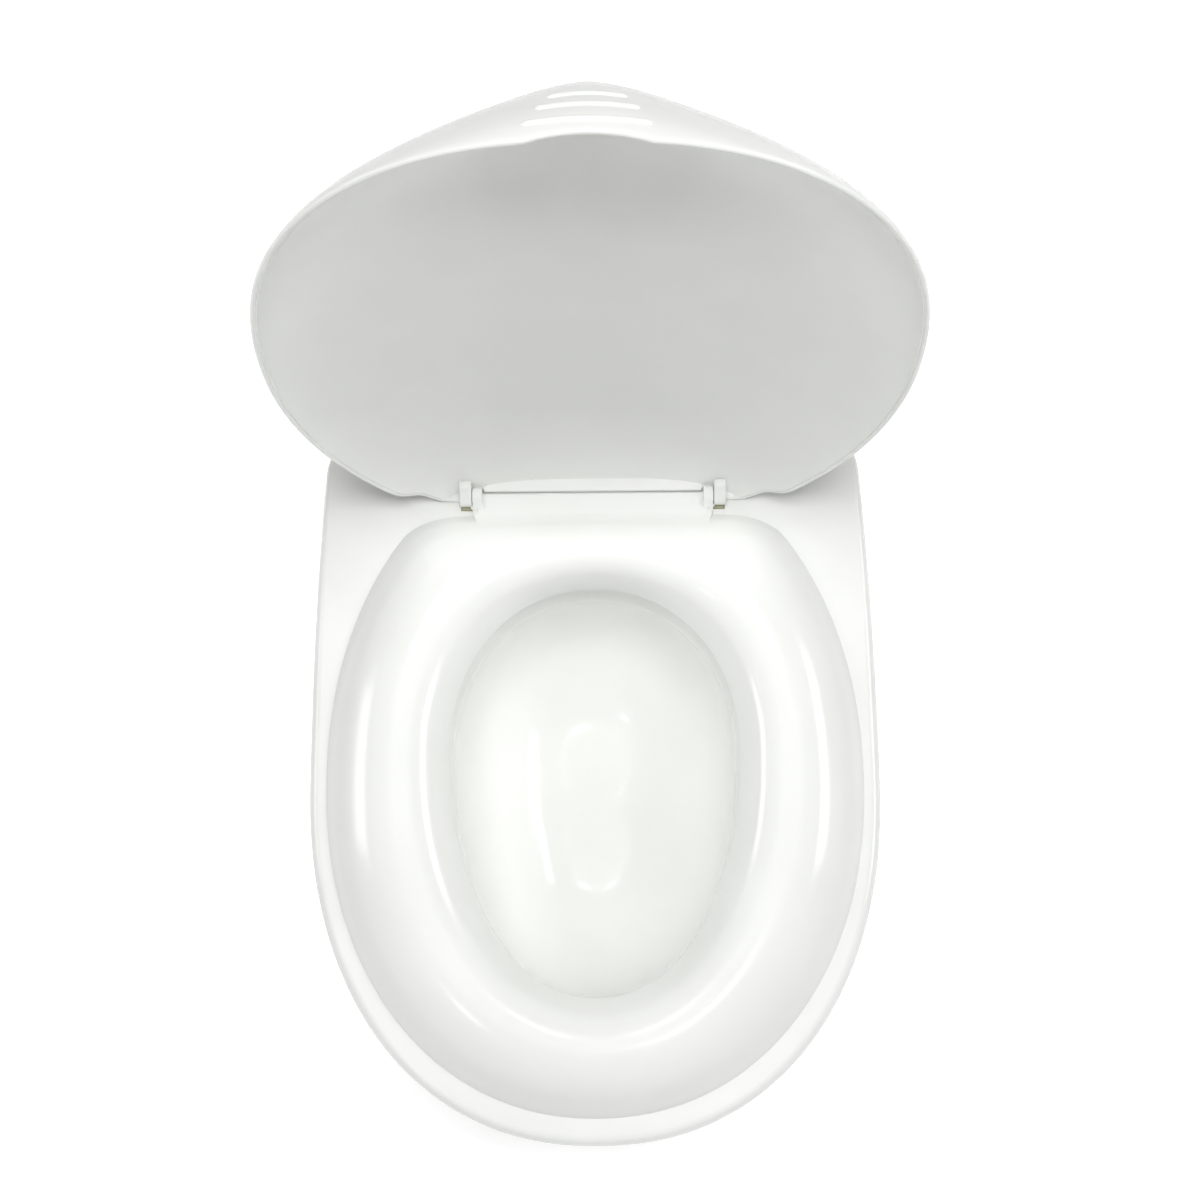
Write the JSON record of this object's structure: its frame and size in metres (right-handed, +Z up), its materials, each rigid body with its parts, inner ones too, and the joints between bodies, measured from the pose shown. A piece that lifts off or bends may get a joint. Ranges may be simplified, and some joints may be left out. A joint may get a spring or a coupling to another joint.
{
  "type": "bedpan",
  "caption": "Lidded commode-style bedpan: a skirted base shell, a lift-out pan, a drop-on seat ring and a domed lid pinned to the ring's hinge ears.",
  "frame": {"origin": "on the floor, at the centre of the space the unit takes up with its lid open", "axes": "+Z up, -Y to the front, +X to the right of someone facing +Y; the hinge axis is along X at the rear"},
  "size_m": [0.3004, 0.4213, 0.4728],
  "materials": {
    "base_plastic": "white injection-moulded plastic, glossy",
    "pan_plastic": "white injection-moulded plastic, high gloss",
    "seat_plastic": "white injection-moulded plastic, high gloss",
    "lid_plastic": "white injection-moulded plastic, gloss outside, soft sheen inside",
    "pin_steel": "drawn stainless steel",
    "buffer_rubber": "matte khaki elastomer",
    "pad_rubber": "matte grey rubber"
  },
  "bodies": {
    "base": {"base_shell": "base_plastic", "lid_buffer_left": "buffer_rubber", "lid_buffer_right": "buffer_rubber", "foot_pad_front_right": "pad_rubber", "foot_pad_front_left": "pad_rubber", "foot_pad_rear_right": "pad_rubber", "foot_pad_rear_left": "pad_rubber"},
    "pan": {"pan": "pan_plastic"},
    "seat_ring": {"seat_ring": "seat_plastic", "hinge_pin_left": "pin_steel", "hinge_pin_right": "pin_steel"},
    "lid": {"lid": "lid_plastic"}
  },
  "joints": [
    {"name": "lid_hinge", "type": "hinge", "parent": "seat_ring", "child": "lid", "pos_m": [0, 0.1217, 0.1455], "axis": [-1, 0, 0], "range_deg": [-98.17, 0]},
    {"name": "pan_lift", "type": "slide", "parent": "base", "child": "pan", "axis": [0, 0, 1], "range_m": [0, 0.13]},
    {"name": "ring_lift", "type": "slide", "parent": "pan", "child": "seat_ring", "axis": [0, 0, 1], "range_m": [0, 0.06]}
  ]
}
